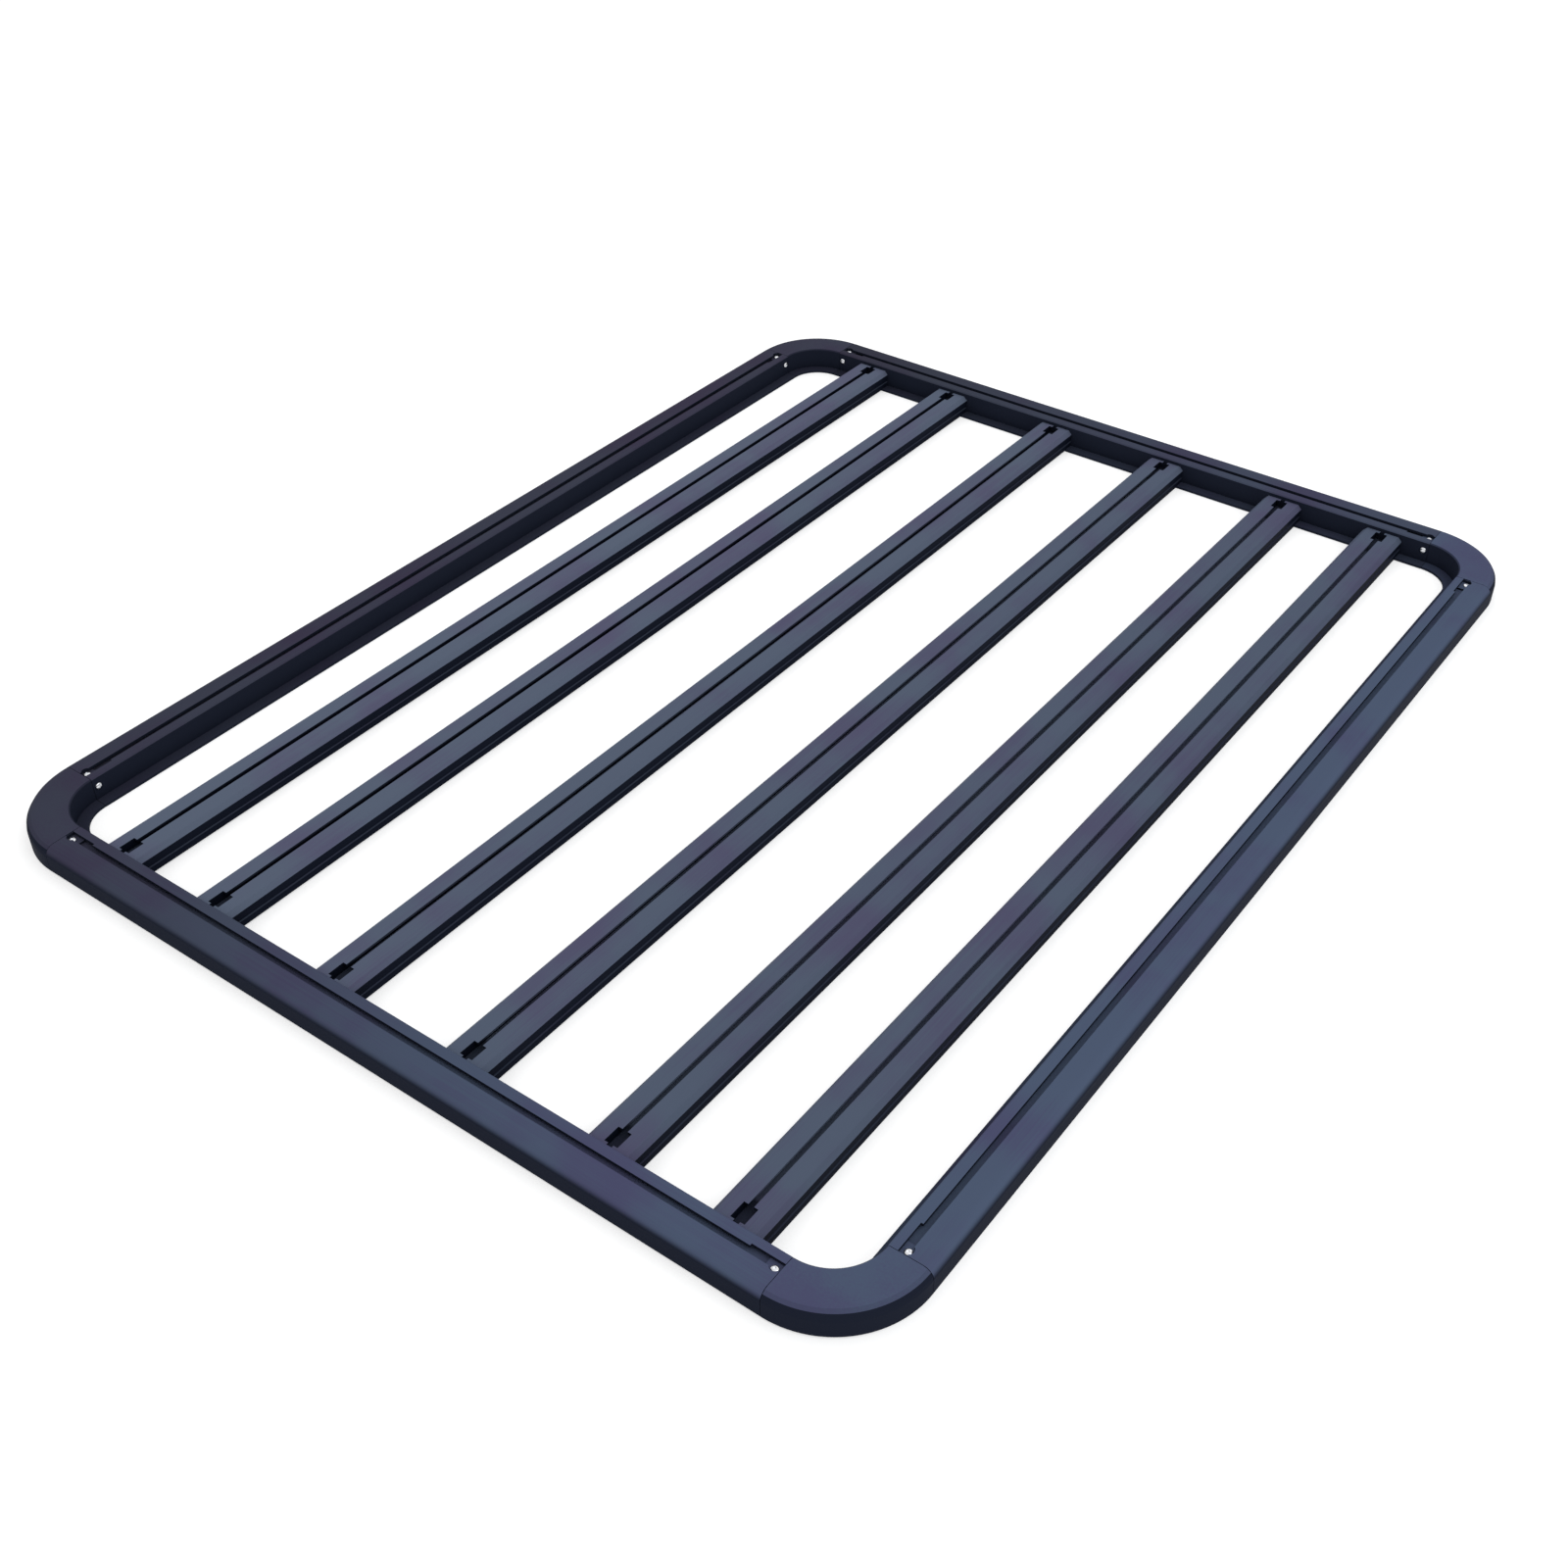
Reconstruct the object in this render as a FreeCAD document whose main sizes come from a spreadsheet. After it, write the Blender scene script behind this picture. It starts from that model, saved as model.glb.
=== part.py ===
import FreeCAD, Part
import math
import os
import Sketcher
from FreeCAD import Placement, Rotation, Vector

# Flat platform roof rack: four rails, four cast corners and six slats, in millimetres.
# The origin is the middle of the underside. X runs across, Y along the slats, Z up.

doc = FreeCAD.newDocument("roof_platform")
sheet = doc.addObject("Spreadsheet::Sheet", "sizes")


class Size:
    """A length together with the sheet formula that gives it, so one sum sets both."""

    def __init__(self, value, formula):
        self.value = value
        self.formula = formula

    def __add__(self, other):
        other = as_size(other)
        return Size(self.value + other.value, f"({self.formula} + {other.formula})")

    def __sub__(self, other):
        other = as_size(other)
        return Size(self.value - other.value, f"({self.formula} - {other.formula})")

    def __mul__(self, factor):
        return Size(self.value * factor, f"({self.formula} * {factor})")

    def __truediv__(self, factor):
        return Size(self.value / factor, f"({self.formula} / {factor})")

    def __neg__(self):
        return self * -1


def as_size(number):
    """Lets a plain number stand in a sum of sizes."""
    return number if isinstance(number, Size) else Size(number, str(number))


def size(alias, value):
    """Writes one driving dimension into the next row of the sheet."""
    row = len(sheet.getUsedCells()) // 2 + 1
    sheet.set(f"A{row}", alias)
    sheet.set(f"B{row}", str(value))
    sheet.setAlias(f"B{row}", alias)
    return Size(value, f"sizes.{alias}")


# Overall platform
rack_length = size("rack_length", 1600)
rack_width = size("rack_width", 1224)
rack_height = size("rack_height", 34)
corner_radius = size("corner_radius", 110)

# Cutters run past the surface they open by this much
cut_overrun = size("cut_overrun", 1)

# Rail section, measured inwards from the outer face
rail_width = size("rail_width", 50)
rail_wall = size("rail_wall", 2.5)
outer_round = size("outer_round", 12)
lower_bevel = size("lower_bevel", 2)
inner_bevel = size("inner_bevel", 1.5)
rail_slot_inset = size("rail_slot_inset", 33)
rail_slot_width = size("rail_slot_width", 7.5)
rail_lip = size("rail_lip", 3.5)
rail_channel_depth = size("rail_channel_depth", 4.5)
rail_channel_width = size("rail_channel_width", 23.5)
ledge_reach = size("ledge_reach", 15)
ledge_thickness = size("ledge_thickness", 3.5)
entry_length = size("entry_length", 38)
entry_widening = size("entry_widening", 2.5)

# Cast corners and the screws that hold them
casting_wall = size("casting_wall", 4)
bulkhead_thickness = size("bulkhead_thickness", 6)
seam_gap = size("seam_gap", 0.6)
seam_depth = size("seam_depth", 1.2)
spigot_length = size("spigot_length", 40)
spigot_clearance = size("spigot_clearance", 0.3)
strap_length = size("strap_length", 18)
strap_thickness = size("strap_thickness", 2.5)
screw_hole = size("screw_hole", 5.3)
screw_well = size("screw_well", 11.5)
screw_inset = size("screw_inset", 7.4)
screw_offset = size("screw_offset", 1)
wall_screw_height = size("wall_screw_height", 20.7)

# Slats, lower than the rails and symmetric about the middle of the rack
slat_height = size("slat_height", 28)
slat_width = size("slat_width", 57)
slat_wall = size("slat_wall", 2.5)
slat_bevel = size("slat_bevel", 5.5)
slat_slot_width = size("slat_slot_width", 6.5)
slat_lip = size("slat_lip", 3)
slat_channel_width = size("slat_channel_width", 18)
slat_channel_depth = size("slat_channel_depth", 9.5)
slat_edge_inset = size("slat_edge_inset", 177.5)
slat_outer_pitch = size("slat_outer_pitch", 151)
slat_end_gap = size("slat_end_gap", 0.5)
groove_height = size("groove_height", 10)
groove_width = size("groove_width", 4)
groove_depth = size("groove_depth", 1.2)
port_length = size("port_length", 21)
port_width = size("port_width", 16.5)
port_inset = size("port_inset", 5)
hold_down_hole = size("hold_down_hole", 6.4)
countersink_width = size("countersink_width", 12.6)

doc.recompute()

# A wall of even thickness behind a 45 degree bevel turns its corners this share of the wall sooner
BEVEL_SHIFT = math.tan(math.radians(22.5))
ROUND_FLATS = 4

rail_depth = rail_width + ledge_reach
slot_outer = rail_slot_inset - rail_slot_width / 2
slot_inner = rail_slot_inset + rail_slot_width / 2
channel_outer = rail_slot_inset - rail_channel_width / 2
channel_inner = rail_slot_inset + rail_channel_width / 2
lip_underside = rack_height - rail_lip
channel_floor = lip_underside - rail_channel_depth
channel_web = channel_floor - rail_wall
strap_top = channel_floor + spigot_clearance + strap_thickness
land_screw_inset = rail_slot_inset - screw_offset
outermost_slat = rack_width / 2 - slat_edge_inset
slat_middle_pitch = (outermost_slat - slat_outer_pitch) * 2 / 3
slat_centres = [
    -outermost_slat,
    slat_outer_pitch - outermost_slat,
    slat_middle_pitch * -0.5,
    slat_middle_pitch * 0.5,
    outermost_slat - slat_outer_pitch,
    outermost_slat,
]


def bind(feature, name, length):
    """Ties a property of a feature to the sheet."""
    feature.setExpression(name, as_size(length).formula)


def new_body(label):
    body = doc.addObject("PartDesign::Body", label)
    body.Label = label
    return body


def place(body, x, y, rotation):
    """Puts a finished body where it sits on the rack."""
    body.Placement = Placement(Vector(as_size(x).value, as_size(y).value, 0), rotation)
    bind(body, "Placement.Base.x", x)
    bind(body, "Placement.Base.y", y)


def new_sketch(body, name, role):
    """Starts a sketch on one of the body's own planes."""
    plane = next(entry for entry in body.Origin.OriginFeatures if entry.Role == role)
    sketch = body.newObject("Sketcher::SketchObject", f"{body.Label}_{name}")
    sketch.AttachmentSupport = [(plane, "")]
    sketch.MapMode = "FlatFace"
    return sketch


def draw_loop(sketch, corners):
    """Draws a closed loop whose corners (x, y) are held by distances from the origin.

    A corner (x, y, centre x, centre y) starts an arc to the next corner about that centre.
    """
    corners = [tuple(as_size(entry) for entry in corner) for corner in corners]
    first = sketch.GeometryCount
    ends = []
    for here, there in zip(corners, corners[1:] + corners[:1]):
        start = Vector(here[0].value, here[1].value, 0)
        stop = Vector(there[0].value, there[1].value, 0)
        if len(here) == 2:
            sketch.addGeometry(Part.LineSegment(start, stop))
            ends.append((1, 2))
            continue
        centre = Vector(here[2].value, here[3].value, 0)
        forward = (start - centre).cross(stop - centre).z > 0
        spokes = [start - centre, stop - centre] if forward else [stop - centre, start - centre]
        angles = [math.atan2(spoke.y, spoke.x) for spoke in spokes]
        circle = Part.Circle(centre, Vector(0, 0, 1), spokes[0].Length)
        sketch.addGeometry(Part.ArcOfCircle(circle, angles[0], angles[1]))
        ends.append((1, 2) if forward else (2, 1))
    constraints = []
    formulas = {}

    def hold(kind, line, point, distance):
        if distance.value == 0:
            axis = -2 if kind == "DistanceX" else -1
            constraints.append(Sketcher.Constraint("PointOnObject", line, point, axis))
            return
        formulas[sketch.ConstraintCount + len(constraints)] = distance.formula
        constraints.append(Sketcher.Constraint(kind, -1, 1, line, point, distance.value))

    for index, corner in enumerate(corners):
        line = first + index
        previous = first + (index - 1) % len(corners)
        hold("DistanceX", line, ends[index][0], corner[0])
        hold("DistanceY", line, ends[index][0], corner[1])
        if len(corner) == 4:
            hold("DistanceX", line, 3, corner[2])
        constraints.append(
            Sketcher.Constraint("Coincident", previous, ends[index - 1][1], line, ends[index][0])
        )
    sketch.addConstraint(constraints)
    for index, formula in formulas.items():
        sketch.setExpression(f"Constraints[{index}]", formula)


def pad(body, sketch, length, backwards=False):
    """Extrudes a sketch by a length from the sheet."""
    feature = body.newObject("PartDesign::Pad", f"{sketch.Name}_pad")
    feature.Profile = sketch
    feature.Length = length.value
    bind(feature, "Length", length)
    feature.Reversed = backwards
    sketch.Visibility = False
    return feature


def cut_box(body, name, corner, sides):
    """Cuts a box from its lowest corner."""
    box = body.newObject("PartDesign::SubtractiveBox", f"{body.Label}_{name}")
    for side, length in zip(("Length", "Width", "Height"), sides):
        bind(box, side, length)
    for axis, distance in zip("xyz", corner):
        bind(box, f"Placement.Base.{axis}", distance)


def cut_round(body, kind, name, start, turn, lengths):
    """Cuts with a round shape that starts at a point and runs along Z turned by a rotation."""
    cutter = body.newObject(f"PartDesign::Subtractive{kind}", f"{body.Label}_{name}")
    cutter.Placement = Placement(Vector(0, 0, 0), turn)
    for side, length in lengths.items():
        bind(cutter, side, length)
    for axis, distance in zip("xyz", start):
        bind(cutter, f"Placement.Base.{axis}", distance)


def cut_hole(body, name, start, length, diameter, turn):
    """Cuts a straight round hole."""
    lengths = {"Radius": diameter / 2, "Height": length}
    cut_round(body, "Cylinder", name, start, turn, lengths)


def cut_countersink(body, name, start, length, turn):
    """Cuts the cone that lets a flat screw head lie level with the surface."""
    ends = {"Radius1": countersink_width / 2, "Radius2": hold_down_hole / 2}
    cut_round(body, "Cone", name, start, turn, {**ends, "Height": length})


ALONG_X = Rotation(Vector(0, 1, 0), 90)
ALONG_Y = Rotation(Vector(1, 0, 0), -90)
ALONG_Z = Rotation()


def rail_outline():
    """Rail section from the outer face inwards, with the slot open to the top."""
    return [
        (lower_bevel, 0),
        (rail_depth, 0),
        (rail_depth, ledge_thickness),
        (rail_width, ledge_thickness),
        (rail_width, rack_height - inner_bevel),
        (rail_width - inner_bevel, rack_height),
        (slot_inner, rack_height),
        (slot_inner, lip_underside),
        (channel_inner, lip_underside),
        (channel_inner, channel_floor),
        (channel_outer, channel_floor),
        (channel_outer, lip_underside),
        (slot_outer, lip_underside),
        (slot_outer, rack_height),
        (outer_round, rack_height, outer_round, rack_height - outer_round),
        (0, rack_height - outer_round),
        (0, lower_bevel),
    ]


def chamber_loop(gap, flip=lambda inset: inset):
    """The rail's hollow below and beside the slot channel, drawn smaller by a gap."""
    side = rail_wall + gap
    ceiling = rack_height - rail_wall - gap
    shelf = channel_web - gap
    turn = outer_round - rail_wall
    corners = [
        (side, side),
        (rail_width - side, side),
        (rail_width - side, shelf),
        (channel_outer - side, shelf),
        (channel_outer - side, ceiling),
        (rail_wall + turn + gap, ceiling),
        (side, ceiling - turn),
    ]
    return [(flip(inset), height) for inset, height in corners]


def strap_loop(gap, flip):
    """The flat tongue that lies on the channel floor and carries the upper screw head."""
    return [
        (flip(channel_outer + gap), channel_floor + gap),
        (flip(channel_inner - gap), channel_floor + gap),
        (flip(channel_inner - gap), strap_top),
        (flip(channel_outer + gap), strap_top),
    ]


def build_rail(label, length, seat_positions):
    """One extruded rail. Its own X points inwards, its own Y up and its own Z along the rail."""
    body = new_body(label)
    section = new_sketch(body, "section", "XY_Plane")
    draw_loop(section, rail_outline())
    draw_loop(section, chamber_loop(as_size(0)))
    pad(body, section, length)
    entry_sides = (rail_slot_width + entry_widening, rail_lip + cut_overrun, entry_length + cut_overrun)
    cut_box(body, "first_entry", (slot_outer, lip_underside, -cut_overrun), entry_sides)
    cut_box(body, "last_entry", (slot_outer, lip_underside, length - entry_length), entry_sides)
    first_screw = screw_inset - seam_gap
    through_lip = rail_lip + cut_overrun * 2
    through_wall = rail_wall + cut_overrun * 2
    for end, along in (("first", first_screw), ("last", length - first_screw)):
        well_start = (land_screw_inset, lip_underside - cut_overrun, along)
        cut_hole(body, f"{end}_screw_well", well_start, through_lip, screw_well, ALONG_Y)
        web_start = (land_screw_inset, channel_web - cut_overrun, along)
        cut_hole(body, f"{end}_web_hole", web_start, through_wall, screw_hole, ALONG_Y)
        wall_start = (rail_width - rail_wall - cut_overrun, wall_screw_height, along)
        cut_hole(body, f"{end}_wall_hole", wall_start, through_wall, screw_hole, ALONG_X)
    for number, position in enumerate(seat_positions, 1):
        seat_start = (rail_width + ledge_reach / 2, 0, length / 2 + position)
        cut_countersink(body, f"seat_hole_{number}", seat_start, ledge_thickness, ALONG_Y)
    return body


def quarter_round(across, height):
    """The outer round about a centre, as short flats that keep a turned piece light."""
    turns = [math.radians(90 * step / ROUND_FLATS) for step in range(ROUND_FLATS + 1)]
    spokes = [(round(math.cos(turn), 6), round(math.sin(turn), 6)) for turn in turns]
    return [(across + outer_round * x, height + outer_round * y) for x, y in spokes]


def build_corner(label):
    """One cast corner: a quarter turn of an open shell with a spigot into each rail."""
    body = new_body(label)

    def from_centre(inset):
        return corner_radius - inset

    section = new_sketch(body, "section", "XZ_Plane")
    inner = from_centre(rail_width)
    crown = rack_height - casting_wall
    shoulder = from_centre(outer_round)
    draw_loop(section, [
        (corner_radius, lower_bevel),
        *quarter_round(shoulder, rack_height - outer_round),
        (inner + inner_bevel, rack_height),
        (inner, rack_height - inner_bevel),
        (inner, ledge_thickness),
        (inner - ledge_reach, ledge_thickness),
        (inner - ledge_reach, 0),
        (inner + casting_wall, 0),
        (inner + casting_wall, crown),
        (shoulder, crown),
        (corner_radius - casting_wall, rack_height - outer_round),
        (corner_radius - casting_wall, 0),
        (corner_radius - lower_bevel, 0),
    ])
    turn = body.newObject("PartDesign::Revolution", f"{label}_turn")
    turn.Profile = section
    turn.ReferenceAxis = (section, ["V_Axis"])
    turn.Angle = 90
    section.Visibility = False
    for end, role, backwards in (("first", "XZ_Plane", False), ("last", "YZ_Plane", True)):
        bulkhead = new_sketch(body, f"{end}_bulkhead", role)
        ceiling = rack_height - seam_depth
        draw_loop(bulkhead, [
            (from_centre(seam_depth), seam_depth),
            (from_centre(seam_depth), rack_height - outer_round),
            (from_centre(outer_round), ceiling),
            (from_centre(rail_width - seam_depth - inner_bevel), ceiling),
            (from_centre(rail_width - seam_depth), ceiling - inner_bevel),
            (from_centre(rail_width - seam_depth), seam_depth),
        ])
        pad(body, bulkhead, bulkhead_thickness, not backwards)
        pad(body, bulkhead, seam_gap, backwards)
        spigot = new_sketch(body, f"{end}_spigot", role)
        draw_loop(spigot, chamber_loop(spigot_clearance, from_centre))
        pad(body, spigot, spigot_length, backwards)
        strap = new_sketch(body, f"{end}_strap", role)
        draw_loop(strap, strap_loop(spigot_clearance, from_centre))
        pad(body, strap, strap_length, backwards)
    land_radius = from_centre(land_screw_inset)
    through_strap = strap_top - channel_floor + cut_overrun
    for end, across, along in (("first", land_radius, -screw_inset), ("last", -screw_inset, land_radius)):
        strap_start = (across, along, channel_floor)
        cut_hole(body, f"{end}_strap_hole", strap_start, through_strap, screw_hole, ALONG_Z)
    return body


def slat_outline():
    """Slat section: a slot channel above and one below, bevelled top edges and grooved sides."""
    half = slat_width / 2
    slot = slat_slot_width / 2
    channel = slat_channel_width / 2
    right = [
        (slot, 0),
        (half - lower_bevel, 0),
        (half, lower_bevel),
        (half, groove_height),
        (half - groove_depth, groove_height + groove_depth),
        (half - groove_depth, groove_height + groove_width - groove_depth),
        (half, groove_height + groove_width),
        (half, slat_height - slat_bevel),
        (half - slat_bevel, slat_height),
        (slot, slat_height),
        (slot, slat_height - slat_lip),
        (channel, slat_height - slat_lip),
        (channel, slat_height - slat_lip - slat_channel_depth),
    ]
    below = [
        (channel, slat_lip + slat_channel_depth),
        (channel, slat_lip),
        (slot, slat_lip),
    ]
    left = [(-across, height) for across, height in reversed(right)]
    below_left = [(-across, height) for across, height in reversed(below)]
    return right + left + below_left + below


def slat_chamber(sign):
    """The hollow beside the slot channels, on one side of the slat."""
    near = slat_channel_width / 2 + slat_wall
    far = slat_width / 2 - slat_wall
    ceiling = slat_height - slat_wall
    shift = slat_bevel + slat_wall * BEVEL_SHIFT
    return [
        (near * sign, slat_wall),
        (far * sign, slat_wall),
        (far * sign, slat_height - shift),
        ((slat_width / 2 - shift) * sign, ceiling),
        (near * sign, ceiling),
    ]


def build_slat(label):
    """One extruded slat, notched at each end to sit on the rails' ledges."""
    body = new_body(label)
    length = rack_length - rail_width * 2 - slat_end_gap * 2
    section = new_sketch(body, "section", "XY_Plane")
    draw_loop(section, slat_outline())
    for sign in (1, -1):
        draw_loop(section, slat_chamber(sign))
    pad(body, section, length)
    seat = ledge_reach + slat_end_gap
    notch_sides = (slat_width + cut_overrun * 2, ledge_thickness + cut_overrun, seat + cut_overrun)
    port_sides = (port_width, slat_lip + cut_overrun, port_length)
    notch_side = -slat_width / 2 - cut_overrun
    for end, notch_start, port_start in (
        ("first", -cut_overrun, port_inset),
        ("last", length - seat, length - port_inset - port_length),
    ):
        cut_box(body, f"{end}_notch", (notch_side, -cut_overrun, notch_start), notch_sides)
        port_corner = (-port_width / 2, slat_height - slat_lip, port_start)
        cut_box(body, f"{end}_port", port_corner, port_sides)
    return body


# Rails, named by where they lie in the rack
UPRIGHT = Rotation(Vector(0, 1, 0), Vector(0, 0, 1), Vector(1, 0, 0), "XYZ")


def quarter_turns(count):
    return Rotation(Vector(0, 0, 1), 90 * count)


half_width = rack_width / 2
half_length = rack_length / 2
rail_start = corner_radius + seam_gap
cross_rail_length = rack_width - rail_start * 2
side_rail_length = rack_length - rail_start * 2

front_rail = build_rail("front_rail", cross_rail_length, slat_centres)
place(front_rail, rail_start - half_width, -half_length, UPRIGHT)
right_rail = build_rail("right_rail", side_rail_length, [])
place(right_rail, half_width, rail_start - half_length, quarter_turns(1) * UPRIGHT)
rear_rail = build_rail("rear_rail", cross_rail_length, slat_centres)
place(rear_rail, half_width - rail_start, half_length, quarter_turns(2) * UPRIGHT)
left_rail = build_rail("left_rail", side_rail_length, [])
place(left_rail, -half_width, half_length - rail_start, quarter_turns(3) * UPRIGHT)

# Corners, each a quarter turn from the next
corner_x = half_width - corner_radius
corner_y = half_length - corner_radius
corners = []
for label, x, y, turns in (
    ("rear_right_corner", corner_x, corner_y, 0),
    ("rear_left_corner", -corner_x, corner_y, 1),
    ("front_left_corner", -corner_x, -corner_y, 2),
    ("front_right_corner", corner_x, -corner_y, 3),
):
    corner = build_corner(label)
    place(corner, x, y, quarter_turns(turns))
    corners.append(corner)

# Slats, numbered from the left rail
slats = []
for number, centre in enumerate(slat_centres, 1):
    slat = build_slat(f"slat_{number}")
    place(slat, centre, half_length - rail_width - slat_end_gap, Rotation(Vector(1, 0, 0), 90))
    slats.append(slat)

doc.recompute()

pieces = [front_rail, right_rail, rear_rail, left_rail] + corners + slats
for entry in doc.Objects:
    if "Invalid" in entry.State or "Error" in entry.State:
        raise RuntimeError(f"{entry.Label} did not build: {entry.State}")
for piece in pieces:
    if piece.Shape.isNull() or not piece.Shape.isValid() or len(piece.Shape.Solids) != 1:
        raise RuntimeError(f"{piece.Label} is not one valid solid")

os.makedirs("parts", exist_ok=True)
for piece in pieces:
    piece.Shape.exportStep(f"parts/{piece.Label}.step")
    box = piece.Shape.BoundBox
    spans = f"{box.XLength:.1f} x {box.YLength:.1f} x {box.ZLength:.1f} mm"
    print(f"{piece.Label}: {spans}, {piece.Shape.Volume / 1000:.1f} cubic centimetres")
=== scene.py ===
# %% [markdown]
# # A flat platform roof rack
# The rack is an open frame of powder-coated aluminium: four slotted rails, four cast corners and
# six slats, held together by bright screws. The solids come ready made, at their real size and in
# their real place. This lesson gives them their finish, adds the screws, and sets up the studio.

# %% Load the solids and keep their box
import math

import bpy
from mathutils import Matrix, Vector


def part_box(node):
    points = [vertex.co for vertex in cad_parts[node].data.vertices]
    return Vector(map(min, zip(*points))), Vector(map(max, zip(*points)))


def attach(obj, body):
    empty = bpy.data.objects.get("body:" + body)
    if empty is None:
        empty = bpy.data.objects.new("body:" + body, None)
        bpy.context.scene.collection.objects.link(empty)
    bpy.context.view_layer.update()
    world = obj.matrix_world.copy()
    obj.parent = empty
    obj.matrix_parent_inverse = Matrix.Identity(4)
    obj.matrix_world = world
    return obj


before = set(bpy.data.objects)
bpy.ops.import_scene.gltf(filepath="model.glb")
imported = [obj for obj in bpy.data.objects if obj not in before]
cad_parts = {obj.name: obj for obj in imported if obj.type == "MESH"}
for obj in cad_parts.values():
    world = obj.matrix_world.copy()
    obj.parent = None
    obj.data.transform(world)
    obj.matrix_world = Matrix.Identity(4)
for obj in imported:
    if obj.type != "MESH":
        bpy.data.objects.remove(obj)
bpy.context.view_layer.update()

# %% [markdown]
# ## The camera
# The straight edges of the rack run to two vanishing points, and those fix where the viewer stood:
# beyond the front right corner and some 1.4 m above the floor, with a lens of normal length. The
# camera is placed by that point, its compass heading and its downward tilt, so nothing is aimed by
# eye. The Standard view keeps a colour on screen as it was mixed, so white stays plain white.

# %% Stand the camera where the viewer stood
VIEWER = Vector((1.1134, -1.5938, 1.4065))
HEADING = math.radians(126.40)
TILT_DOWN = math.radians(38.683)
LENS_MM = 43.15
FILM_MM = 36.0

scene = bpy.context.scene
camera_data = bpy.data.cameras.new("viewer")
camera_data.lens = LENS_MM
camera_data.sensor_width = FILM_MM
camera = bpy.data.objects.new("viewer", camera_data)
camera.location = VIEWER
camera.rotation_euler = (math.pi / 2 - TILT_DOWN, 0, HEADING - math.pi / 2)
scene.collection.objects.link(camera)
scene.camera = camera
scene.view_settings.view_transform = "Standard"
print("camera at", tuple(round(v, 3) for v in VIEWER), "with a", LENS_MM, "mm lens")

# %% [markdown]
# ## Nodes written as sums
# Materials and Geometry Nodes are both graphs of nodes, and long graphs are hard to read as code.
# One small class wraps an output so that `a * 2 + b` adds the Math nodes by itself, and one method
# adds every other kind of node: its settings first, then the values or links of its sockets.


# %% A sheet of nodes and the values on it
class Value:
    """A node's output that can stand in a sum."""

    def __init__(self, sheet, socket):
        self.sheet = sheet
        self.socket = socket

    def __add__(self, other):
        return self.sheet.maths("ADD", self, other)

    def __sub__(self, other):
        return self.sheet.maths("SUBTRACT", self, other)

    def __rsub__(self, other):
        return self.sheet.maths("SUBTRACT", other, self)

    def __mul__(self, other):
        return self.sheet.maths("MULTIPLY", self, other)

    def __truediv__(self, other):
        return self.sheet.maths("DIVIDE", self, other)

    def __rtruediv__(self, other):
        return self.sheet.maths("DIVIDE", other, self)

    __radd__ = __add__
    __rmul__ = __mul__


class Sheet:
    """A node tree that is written one node at a time."""

    def __init__(self, tree):
        self.tree = tree

    def feed(self, socket, value):
        """Links a value to a socket, or types a plain number, colour or name into it."""
        if isinstance(value, Value):
            self.tree.links.new(value.socket, socket)
        else:
            socket.default_value = value

    def add(self, kind, settings=None, sockets=None, output=0):
        """Adds a node and gives back one of its outputs, by number, name or identifier."""
        node = self.tree.nodes.new(kind)
        for name, setting in (settings or {}).items():
            setattr(node, name, setting)
        for name, value in (sockets or {}).items():
            self.feed(self.find(node.inputs, name), value)
        return Value(self, self.find(node.outputs, output)) if node.outputs else node

    @staticmethod
    def find(sockets, name):
        matches = [socket for socket in sockets if socket.identifier == name]
        return matches[0] if matches else sockets[name]

    def maths(self, operation, left, right=0.0):
        return self.add("ShaderNodeMath", {"operation": operation}, {0: left, 1: right})

    def blend(self, share, first, second, mode="MIX"):
        """Mixes two colours by a share from 0 to 1."""
        settings = {"data_type": "RGBA", "blend_type": mode}
        mixed = {"Factor_Float": share, "A_Color": first, "B_Color": second}
        return self.add("ShaderNodeMix", settings, mixed, "Result_Color")

    def ease(self, value, start, end):
        """A soft step from 0 to 1 while a value goes from start to end."""
        limits = {"Value": value, "From Min": start, "From Max": end}
        return self.add("ShaderNodeMapRange", {"interpolation_type": "SMOOTHSTEP"}, limits)

    def noise(self, vector, scale, detail):
        """A soft random pattern, finer with a larger scale."""
        pattern = {"Vector": vector, "Scale": scale, "Detail": detail}
        return self.add("ShaderNodeTexNoise", None, pattern)

    def split(self, vector):
        """The X, Y and Z of a vector."""
        return [self.add("ShaderNodeSeparateXYZ", None, {"Vector": vector}, axis) for axis in "XYZ"]


def colour(red, green, blue):
    """A screen colour, 0 to 255, as the linear colour that shaders take."""
    def linear(level):
        share = level / 255
        return share / 12.92 if share <= 0.04045 else ((share + 0.055) / 1.055) ** 2.4
    return (linear(red), linear(green), linear(blue), 1)


print("node helpers ready")
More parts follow.
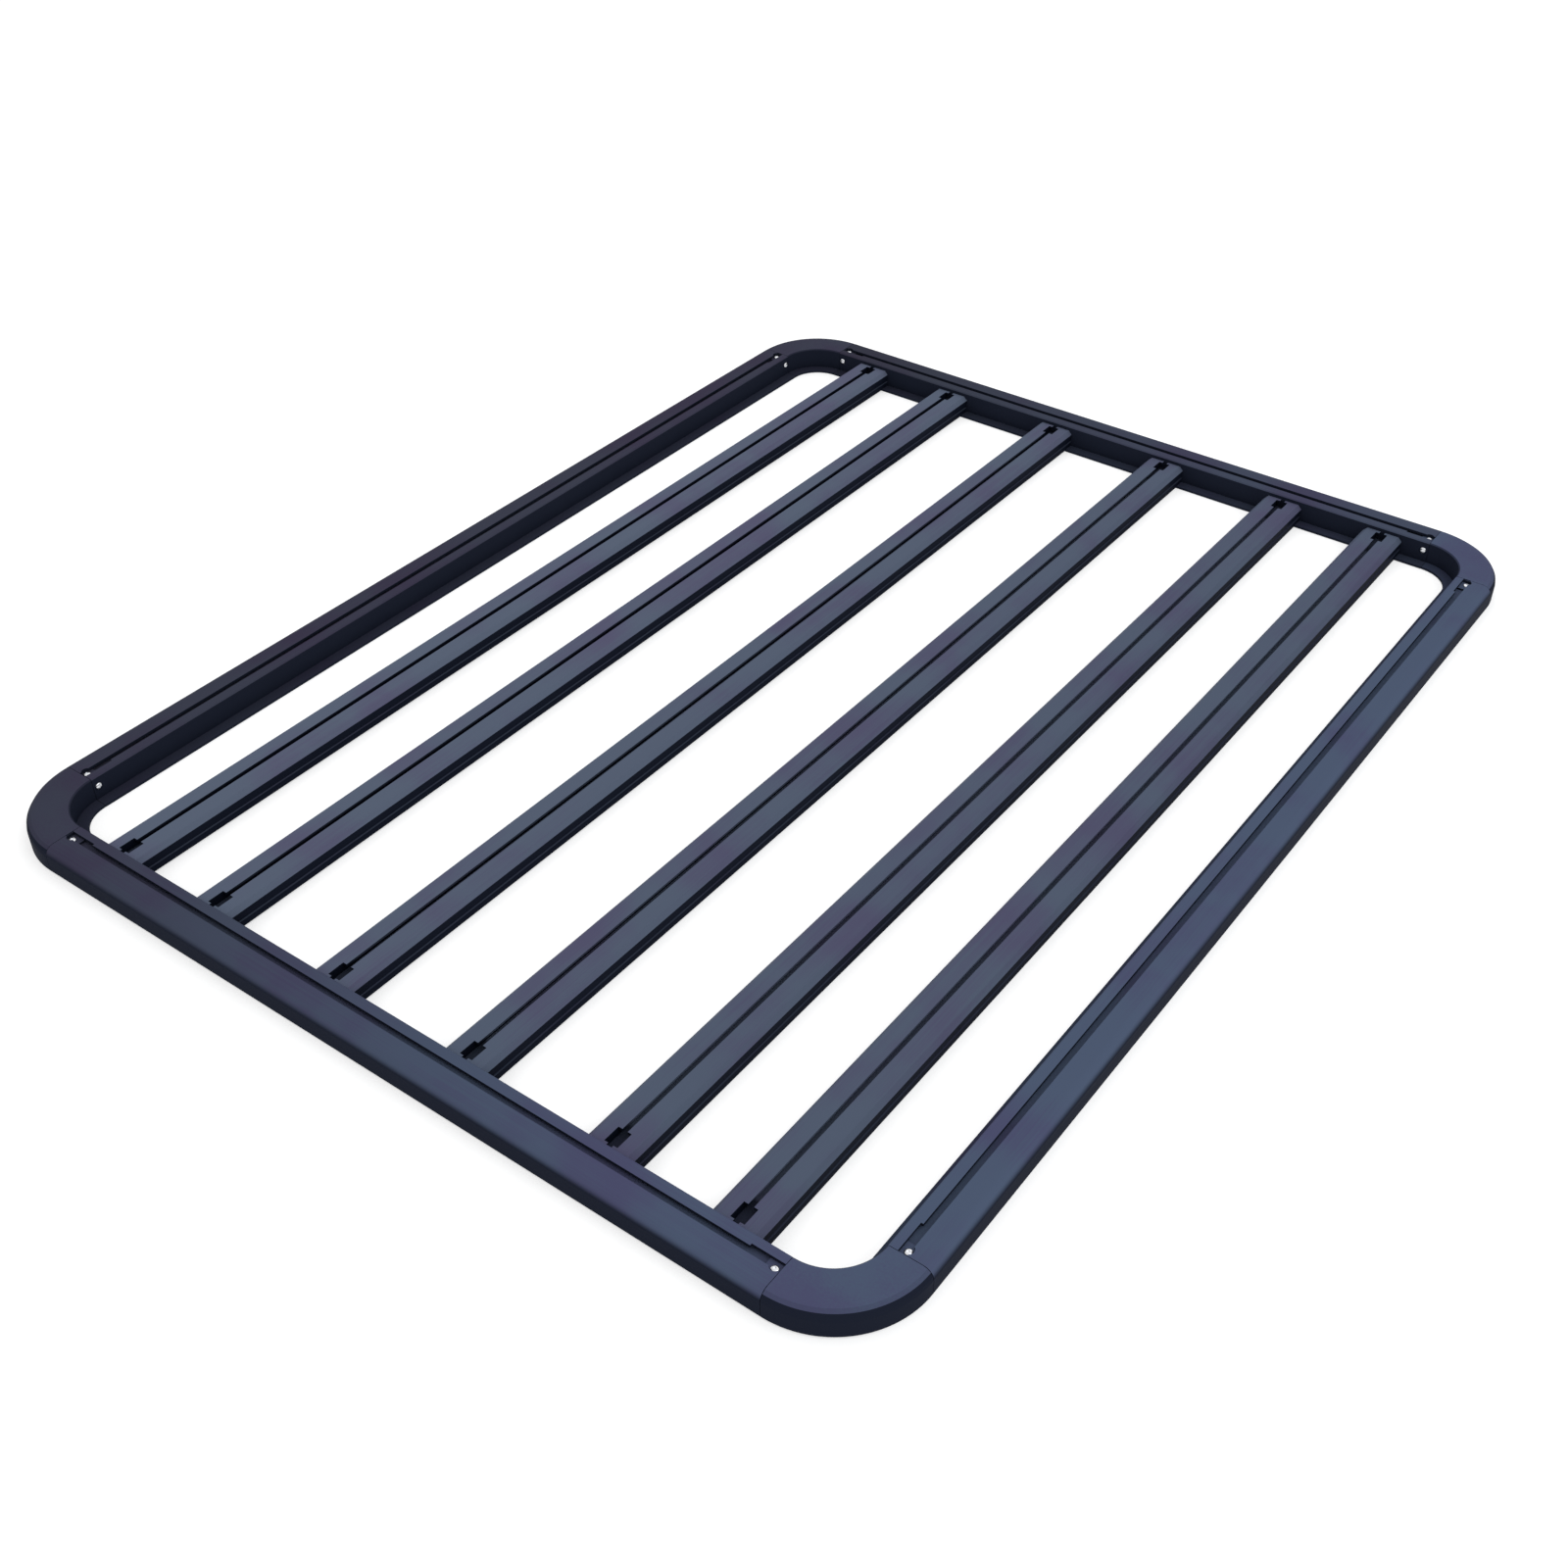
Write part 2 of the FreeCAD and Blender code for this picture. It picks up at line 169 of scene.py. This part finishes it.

# %% [markdown]
# ## The powder coat
# The coat is a black powder, baked on, with hardly any gloss. Sky light is painted into its colour:
# upward faces read as blue grey, while upright faces stay almost black, and masks keep that
# difference under any light. Painted light comes from the surface's own normal. Painted shade comes
# from how far a face lies below the piece's own top, which darkens ledges, side grooves and ports.
# More painted light lightens the walls of a slat's slot, and the painted light also drifts from the
# left to the right of the rack. Cloudy plum patches, draw lines along the extrusions and a fine
# orange-peel bump break up what would be a flat colour. A casting has no draw lines.

# %% Settle what all the coats share
GLOSS = 0.005
ROUGHNESS, GRAIN_ROUGHNESS, CLOUD_ROUGHNESS = 0.36, 0.12, 0.08
CLOUD_SCALE, CLOUD_DETAIL = 7.0, 3.0
GRAIN_SCALE, GRAIN_DETAIL = 420.0, 2.0
PEEL_SCALE, PEEL_DETAIL = 650.0, 1.0
DRAW_STRETCH = 0.01
PLUM_TINT = (0.97, 0.76, 0.91, 1)
PLUM_START, PLUM_END = 0.42, 0.66
PLUM_GRAIN = 0.2
BUMP_GRAIN, BUMP_STRENGTH, BUMP_DEPTH = 0.3, 0.15, 0.0004
# Where the painted light drifts from its left colour to its right one, across the rack.
LIGHT_DRIFT_START, LIGHT_DRIFT_END = -0.75, 0.45
# How far down the slot's walls their painted light reaches.
LIP_DEPTH, LIP_SOFT = 0.0032, 0.0004
# At a slat's ends its ports take painted shade, fading in over these reaches.
PORT_REACH, PORT_FADE = 0.0275, 0.022
PORT_SHADE_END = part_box("slat_1")[1].y - PORT_REACH
PORT_SHADE_START = PORT_SHADE_END - PORT_FADE
print("port shade starts", round(PORT_SHADE_START, 4), "m from the middle of a slat")


# %% Make a coat
def powder_coat(name, lengthways, top, slopes, drops, deeper, painted_wall_light, painted_recess_light, upright, painted_lit_lands):
    """A black coat, drawn along one axis or cast with none.

    A face has painted shade up to the first slope and painted light from the second. It keeps its
    painted light up to the first drop below the top and takes painted shade from the second. Clear
    of the ports both drops lie deeper, and the slot's walls get a share of painted light there. The
    painted light drifts from the left to the right, and the painted light on the slot's walls grows
    with it.
    """
    material = bpy.data.materials.new(name)
    material.use_nodes = True
    shader = material.node_tree.nodes["Principled BSDF"]
    shader.inputs["Specular IOR Level"].default_value = GLOSS
    sheet = Sheet(material.node_tree)

    place = sheet.add("ShaderNodeTexCoord", output="Object")
    across, along, height = sheet.split(place)
    stretch = [DRAW_STRETCH if axis == lengthways else 1.0 for axis in "XYZ"]
    drawn = sheet.add("ShaderNodeMapping", None, {"Vector": place, "Scale": stretch})
    cloud = sheet.noise(place, CLOUD_SCALE, CLOUD_DETAIL)
    grain = sheet.noise(drawn, GRAIN_SCALE, GRAIN_DETAIL)
    peel = sheet.noise(place, PEEL_SCALE, PEEL_DETAIL)

    upward = sheet.split(sheet.add("ShaderNodeNewGeometry", output="Normal"))[2]
    # Painted light that drifts across the rack from left to right.
    painted_light_drift = sheet.ease(across, LIGHT_DRIFT_START, LIGHT_DRIFT_END)
    clear = sheet.ease(sheet.maths("ABSOLUTE", along), PORT_SHADE_END, PORT_SHADE_START)
    # Painted shade by depth below the top, which spares a slat's channel between its ports.
    high = sheet.ease(height + clear * deeper, top - drops[1], top - drops[0])
    lip = sheet.ease(height, top - LIP_DEPTH, top - LIP_DEPTH + LIP_SOFT)
    # Painted light on the slot's walls, growing towards the right.
    wall = lip * clear * painted_light_drift * painted_light_drift * painted_wall_light
    # Painted sky light on faces that turn upwards, with the slot's walls added.
    facing = sheet.maths("MAXIMUM", sheet.ease(upward, *slopes), wall)
    light = facing * (painted_recess_light + (1 - painted_recess_light) * high)

    plum = sheet.ease(cloud * (1 - PLUM_GRAIN) + grain * PLUM_GRAIN, PLUM_START, PLUM_END)
    # The painted light colour, from left to right, with random plum patches in it.
    painted_land_colour = sheet.blend(plum, sheet.blend(painted_light_drift, *painted_lit_lands), PLUM_TINT, "MULTIPLY")
    # Where painted light falls the face takes that colour, elsewhere the dark upright colour.
    sheet.feed(shader.inputs["Base Color"], sheet.blend(light, upright, painted_land_colour))
    roughness = ROUGHNESS + grain * GRAIN_ROUGHNESS + cloud * CLOUD_ROUGHNESS
    sheet.feed(shader.inputs["Roughness"], roughness)
    relief = peel * (1 - BUMP_GRAIN) + grain * BUMP_GRAIN
    bump = {"Height": relief, "Strength": BUMP_STRENGTH, "Distance": BUMP_DEPTH}
    sheet.feed(shader.inputs["Normal"], sheet.add("ShaderNodeBump", None, bump))
    print("finish:", name)
    return material


# %% [markdown]
# ## Who wears which coat
# The pieces differ a little. A slat keeps its painted light down its bevels and a rail well into its
# outer round, while a casting turns to painted shade sooner. The slats' painted light is nearly
# even.
# The frame has more painted shade towards the left, and the rear rail has the most. Between its
# ports a slat's channel keeps its painted light down to the floor. A node takes the first coat whose
# key is in its name.

# %% Coat every solid
RAIL_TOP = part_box("front_rail")[1].z
SLAT_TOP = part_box("slat_1")[1].z
# Each look sets the painted sky-lit colours, left and right, and where painted light and shade fall.
rail_look = {
    "top": RAIL_TOP,
    "slopes": (0.12, 0.75),
    "drops": (0.012, 0.028),
    "deeper": 0.0,
    "painted_wall_light": 0.0,
    "painted_recess_light": 0.40,
    "upright": colour(26, 30, 42),
    "painted_lit_lands": (colour(54, 56, 69), colour(70, 81, 102)),
}
casting_look = {**rail_look, "slopes": (0.55, 0.93)}
# The rear rail is given more painted shade than the other rails.
rear_shaded_look = {**rail_look, "painted_lit_lands": (colour(47, 49, 59), colour(62, 69, 86))}
slat_look = {
    "top": SLAT_TOP,
    "slopes": (0.25, 0.66),
    "drops": (0.0055, 0.0085),
    "deeper": 0.0077,
    "painted_wall_light": 0.9,
    "painted_recess_light": 0.25,
    "upright": colour(16, 20, 31),
    "painted_lit_lands": (colour(85, 94, 111), colour(75, 84, 101)),
}
coats = {
    "front_rail": powder_coat("coat_on_front_rail", "X", **rail_look),
    "rear_rail": powder_coat("coat_on_rear_rail", "X", **rear_shaded_look),
    "_rail": powder_coat("coat_on_side_rails", "Y", **rail_look),
    "_corner": powder_coat("coat_on_castings", None, **casting_look),
    "slat_": powder_coat("coat_on_slats", "Y", **slat_look),
}
for node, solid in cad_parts.items():
    coat = next(coats[key] for key in coats if key in node)
    solid.data.materials.clear()
    solid.data.materials.append(coat)
    print(node, "wears", coat.name)

# %% [markdown]
# ## Where the screws sit
# Each rail is pinned to its two castings by a screw at the bottom of a round well in the slot's end,
# where the casting's tongue lies in the channel, and by another through its inner wall. The places
# are counted from the ends and faces of the rail's own box, so the screws follow the rail. Each
# seat is a point with the direction that the head faces.

# %% Find the seats on the rails
SCREW_FROM_END = 0.0068
WELL_INSET = 0.032
WELL_DEPTH = 0.0052
WALL_SCREW_DROP = 0.0133
RAIL_WIDTH = 0.050
LEDGE_REACH = 0.015
RAILS = [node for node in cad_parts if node.endswith("_rail")]
SLATS = [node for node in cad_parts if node.startswith("slat_")]


def point(axis_values, height):
    """A vector from a dictionary of axis number and value, with Z as its height."""
    return Vector((axis_values[0], axis_values[1], height))


def corner_screw_seats(rail):
    """The four screws of one rail: at each end one in the well and one on the inner wall."""
    low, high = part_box(rail)
    along, across = (0, 1) if high.x - low.x > high.y - low.y else (1, 0)
    side = math.copysign(1, low[across] + high[across])
    outer_face = high[across] if side > 0 else low[across]
    seats = []
    for place in (low[along] + SCREW_FROM_END, high[along] - SCREW_FROM_END):
        in_well = {along: place, across: outer_face - side * WELL_INSET}
        on_wall = {along: place, across: outer_face - side * RAIL_WIDTH}
        seats.append((point(in_well, high.z - WELL_DEPTH), Vector((0, 0, 1))))
        seats.append((point(on_wall, high.z - WALL_SCREW_DROP), point({along: 0, across: -side}, 0)))
    return seats


corner_seats = [seat for rail in RAILS for seat in corner_screw_seats(rail)]
print("corner screws:", len(corner_seats))

# %% Find the seats under the slats' ends
front_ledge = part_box("front_rail")[1].y - LEDGE_REACH / 2
rear_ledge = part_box("rear_rail")[0].y + LEDGE_REACH / 2
hold_down_seats = []
for slat in SLATS:
    low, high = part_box(slat)
    for ledge in (front_ledge, rear_ledge):
        hold_down_seats.append((Vector(((low.x + high.x) / 2, ledge, 0)), Vector((0, 0, -1))))
print("hold-down screws:", len(hold_down_seats))

# %% [markdown]
# ## Bright steel
# The screws are the only bare metal on the rack. Their heads are turned, which leaves fine rings
# about the axis, so the finish reads an attribute that the screw carries with it: the distance
# from its own axis. Object coordinates alone could not tell one head from the next.

# %% Make the steel
RING_PITCH = 0.00018
RING_DEPTH = RING_PITCH / 4
RING_STRENGTH = 0.10
SMEAR_SCALE, SMEAR_DETAIL = 900.0, 2.0
STEEL_ROUGHNESS, RING_ROUGHNESS, SMEAR_ROUGHNESS = 0.20, 0.06, 0.10
STEEL_LIGHT, STEEL_DARK = colour(238, 239, 241), colour(212, 214, 218)


def turned_steel():
    material = bpy.data.materials.new("turned_stainless")
    material.use_nodes = True
    shader = material.node_tree.nodes["Principled BSDF"]
    shader.inputs["Metallic"].default_value = 1.0
    sheet = Sheet(material.node_tree)
    reach = sheet.add("ShaderNodeAttribute", {"attribute_name": "from_axis"}, None, "Fac")
    rings = sheet.maths("SINE", reach * (math.tau / RING_PITCH)) * 0.5 + 0.5
    place = sheet.add("ShaderNodeTexCoord", output="Object")
    smear = sheet.noise(place, SMEAR_SCALE, SMEAR_DETAIL)
    sheet.feed(shader.inputs["Base Color"], sheet.blend(smear, STEEL_LIGHT, STEEL_DARK))
    roughness = STEEL_ROUGHNESS + rings * RING_ROUGHNESS + smear * SMEAR_ROUGHNESS
    sheet.feed(shader.inputs["Roughness"], roughness)
    bump = {"Height": rings, "Strength": RING_STRENGTH, "Distance": RING_DEPTH}
    sheet.feed(shader.inputs["Normal"], sheet.add("ShaderNodeBump", None, bump))
    return material


steel = turned_steel()
print("finish:", steel.name)

# %% [markdown]
# ## Screws by Geometry Nodes
# Twenty-eight screws in two patterns are work for Geometry Nodes: one head is made once, then put
# on every seat. A tree takes the seats as points, with its sizes as named inputs. It turns each
# head to face outwards, spins it by a seeded random angle, as no two screws stop alike, and ends
# in Realize Instances, so that what comes out is one plain mesh.


# %% The part that both kinds of screw share
SHARP_EDGE = math.radians(32)


def screw_tree(name, sizes, make_head):
    """A tree that puts one head, made by a function from its sizes, on every seat."""
    tree = bpy.data.node_groups.new(name, "GeometryNodeTree")
    sheet = Sheet(tree)
    tree.interface.new_socket("Seats", in_out="INPUT", socket_type="NodeSocketGeometry")
    for label in sizes:
        tree.interface.new_socket(label, in_out="INPUT", socket_type="NodeSocketFloat")
    tree.interface.new_socket("Seed", in_out="INPUT", socket_type="NodeSocketInt")
    tree.interface.new_socket("Material", in_out="INPUT", socket_type="NodeSocketMaterial")
    tree.interface.new_socket("Screws", in_out="OUTPUT", socket_type="NodeSocketGeometry")

    def given(label):
        return sheet.add("NodeGroupInput", output=label)

    head = make_head(sheet, *[given(label) for label in sizes])
    x, y, _ = sheet.split(sheet.add("GeometryNodeInputPosition"))
    from_axis = sheet.maths("SQRT", x * x + y * y)
    head = sheet.add(
        "GeometryNodeStoreNamedAttribute",
        {"data_type": "FLOAT", "domain": "POINT"},
        {"Geometry": head, "Name": "from_axis", "Value": from_axis},
    )
    head = sheet.add("GeometryNodeSetShadeSmooth", {"domain": "FACE"}, {"Geometry": head})
    bend = sheet.add("GeometryNodeInputMeshEdgeAngle", output="Unsigned Angle")
    sharp = sheet.maths("GREATER_THAN", bend, SHARP_EDGE)
    head = sheet.add(
        "GeometryNodeSetShadeSmooth",
        {"domain": "EDGE"},
        {"Geometry": head, "Selection": sharp, "Shade Smooth": False},
    )
    facing = sheet.add(
        "GeometryNodeInputNamedAttribute", {"data_type": "FLOAT_VECTOR"}, {"Name": "outward"}
    )
    upright = sheet.add("FunctionNodeAlignRotationToVector", {"axis": "Z"}, {"Vector": facing})
    angle = sheet.add(
        "FunctionNodeRandomValue",
        {"data_type": "FLOAT"},
        {"Max_001": math.tau, "Seed": given("Seed")},
        "Value_001",
    )
    spin = sheet.add("FunctionNodeAxisAngleToRotation", None, {"Angle": angle})
    turned = sheet.add(
        "FunctionNodeRotateRotation",
        {"rotation_space": "LOCAL"},
        {"Rotation": upright, "Rotate By": spin},
    )
    screws = sheet.add(
        "GeometryNodeInstanceOnPoints",
        None,
        {"Points": given("Seats"), "Instance": head, "Rotation": turned},
    )
    plain = sheet.add("GeometryNodeRealizeInstances", None, {"Geometry": screws})
    dressed = sheet.add(
        "GeometryNodeSetMaterial", None, {"Geometry": plain, "Material": given("Material")}
    )
    sheet.add("NodeGroupOutput", None, {"Screws": dressed})
    return tree


def hex_key_hole(sheet, key, depth, height):
    """A six-sided plug, as wide across its flats as the key, centred at a height."""
    plug = sheet.add(
        "GeometryNodeMeshCylinder",
        None,
        {"Vertices": 6, "Radius": key / math.sqrt(3), "Depth": depth * 2},
    )
    lift = sheet.add("ShaderNodeCombineXYZ", None, {"Z": height})
    return sheet.add("GeometryNodeTransform", None, {"Geometry": plug, "Translation": lift})


def cut(sheet, body, tool):
    """One mesh less another."""
    settings = {"operation": "DIFFERENCE", "solver": "EXACT"}
    return sheet.add("GeometryNodeMeshBoolean", settings, {"Mesh 1": body, "Mesh 2": tool})


print("shared screw tree ready")

# %% [markdown]
# ## The corner screws
# A pan head is a flat-bottomed dome. A ball becomes one when its upper half is squashed to the
# head's height above a short upright rim and its lower half is pressed flat on the seat.

# %% Make the corner screws
HEAD_SEGMENTS, HEAD_RINGS = 32, 16
RIM_SHARE = 0.25
EQUATOR_SLACK = 0.01


def pan_head(sheet, diameter, height, key, depth):
    ball = {"Segments": HEAD_SEGMENTS, "Rings": HEAD_RINGS, "Radius": 1.0}
    ball = sheet.add("GeometryNodeMeshUVSphere", None, ball)
    x, y, z = sheet.split(sheet.add("GeometryNodeInputPosition"))
    above = sheet.maths("GREATER_THAN", z, EQUATOR_SLACK)
    rise = above * (z * (1 - RIM_SHARE) + RIM_SHARE) * height
    pressed = {"X": x * diameter / 2, "Y": y * diameter / 2, "Z": rise}
    pressed = sheet.add("ShaderNodeCombineXYZ", None, pressed)
    dome = sheet.add("GeometryNodeSetPosition", None, {"Geometry": ball, "Position": pressed})
    return cut(sheet, dome, hex_key_hole(sheet, key, depth, height))


def make_screws(name, tree, seats, sizes, seed):
    """Runs a screw tree on its seats and keeps the result as a plain mesh on the rack."""
    mesh = bpy.data.meshes.new(f"{name}_seats")
    mesh.from_pydata([seat for seat, facing in seats], [], [])
    outward = mesh.attributes.new("outward", "FLOAT_VECTOR", "POINT")
    for entry, (seat, facing) in zip(outward.data, seats):
        entry.vector = facing
    piece = bpy.data.objects.new(name, mesh)
    scene.collection.objects.link(piece)
    modifier = piece.modifiers.new("screws", "NODES")
    modifier.node_group = tree
    values = {**sizes, "Seed": seed, "Material": steel}
    for item in tree.interface.items_tree:
        if item.name in values:
            modifier[item.identifier] = values[item.name]
    finished = piece.evaluated_get(bpy.context.evaluated_depsgraph_get())
    plain = bpy.data.meshes.new_from_object(finished)
    piece.modifiers.remove(modifier)
    piece.data = plain
    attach(piece, "root")
    print(name, "has", len(seats), "screws and", len(plain.polygons), "faces")


PAN_HEAD = {"Head Diameter": 0.0086, "Head Height": 0.0024, "Key Size": 0.003, "Key Depth": 0.0014}
CORNER_SEED = 4
pan_head_tree = screw_tree("pan_head_screws", PAN_HEAD, pan_head)
make_screws("corner_screws", pan_head_tree, corner_seats, PAN_HEAD, CORNER_SEED)

# %% [markdown]
# ## The hold-down screws
# Each end of a slat rests on a rail's ledge, and a countersunk screw from below holds it there.
# Its head lies flush, so it is a cone that narrows to the shank as it goes up into the ledge.

# %% Make the hold-down screws
CONE_SIDES = 32


def countersunk_head(sheet, diameter, shank, height, key, depth):
    cone = {
        "Vertices": CONE_SIDES,
        "Radius Top": diameter / 2,
        "Radius Bottom": shank / 2,
        "Depth": height,
    }
    cone = sheet.add("GeometryNodeMeshCone", None, cone)
    drop = sheet.add("ShaderNodeCombineXYZ", None, {"Z": 0 - height})
    cone = sheet.add("GeometryNodeTransform", None, {"Geometry": cone, "Translation": drop})
    return cut(sheet, cone, hex_key_hole(sheet, key, depth, 0.0))


COUNTERSUNK = {
    "Head Diameter": 0.012,
    "Shank Diameter": 0.006,
    "Head Height": 0.003,
    "Key Size": 0.004,
    "Key Depth": 0.0018,
}
HOLD_DOWN_SEED = 9
countersunk_tree = screw_tree("countersunk_screws", COUNTERSUNK, countersunk_head)
make_screws("hold_down_screws", countersunk_tree, hold_down_seats, COUNTERSUNK, HOLD_DOWN_SEED)

# %% [markdown]
# ## The studio
# A pale floor under soft light: an even sky, one broad panel high on the right that brightens the
# near side, and a weaker one behind the rack that draws the far edges. The floor glows by itself,
# as a light table does, so that it stays white and the shadows on it stay faint.

# %% Floor
FLOOR_HALF = 9.0
FLOOR_DROP = 0.0005
FLOOR_GREY, FLOOR_ROUGHNESS, FLOOR_GLOW = 0.60, 0.9, 0.50
WHITE = (1, 1, 1, 1)
floor_corners = [(-1, -1), (1, -1), (1, 1), (-1, 1)]
floor_mesh = bpy.data.meshes.new("floor")
floor_mesh.from_pydata(
    [(x * FLOOR_HALF, y * FLOOR_HALF, -FLOOR_DROP) for x, y in floor_corners], [], [(0, 1, 2, 3)]
)
floor_material = bpy.data.materials.new("pale_floor")
floor_material.use_nodes = True
floor_shader = floor_material.node_tree.nodes["Principled BSDF"]
floor_shader.inputs["Base Color"].default_value = (FLOOR_GREY, FLOOR_GREY, FLOOR_GREY, 1)
floor_shader.inputs["Roughness"].default_value = FLOOR_ROUGHNESS
floor_shader.inputs["Specular IOR Level"].default_value = 0.0
floor_shader.inputs["Emission Color"].default_value = WHITE
floor_shader.inputs["Emission Strength"].default_value = FLOOR_GLOW
floor_mesh.materials.append(floor_material)
floor = bpy.data.objects.new("floor", floor_mesh)
scene.collection.objects.link(floor)
print("floor:", FLOOR_HALF * 2, "m square")

# %% Lamps and sky
PANEL_WIDTH = 2.5
SKY_STRENGTH = 0.95


def panel(name, place, power, tint):
    """A large square lamp that faces the middle of the rack."""
    data = bpy.data.lights.new(name, "AREA")
    data.size = PANEL_WIDTH
    data.energy = power
    data.color = tint
    light = bpy.data.objects.new(name, data)
    light.location = place
    light.rotation_euler = (-Vector(place)).to_track_quat("-Z", "Y").to_euler()
    scene.collection.objects.link(light)
    print("lamp:", name, power, "W")


panel("right_panel", place=(2.4, -0.4, 2.6), power=28, tint=(0.92, 0.96, 1.0))
panel("back_panel", place=(-0.8, 2.2, 2.4), power=10, tint=(0.96, 0.95, 1.0))
world = bpy.data.worlds.new("even_sky")
world.use_nodes = True
sky = world.node_tree.nodes["Background"]
sky.inputs["Color"].default_value = WHITE
sky.inputs["Strength"].default_value = SKY_STRENGTH
scene.world = world
print("sky:", SKY_STRENGTH)
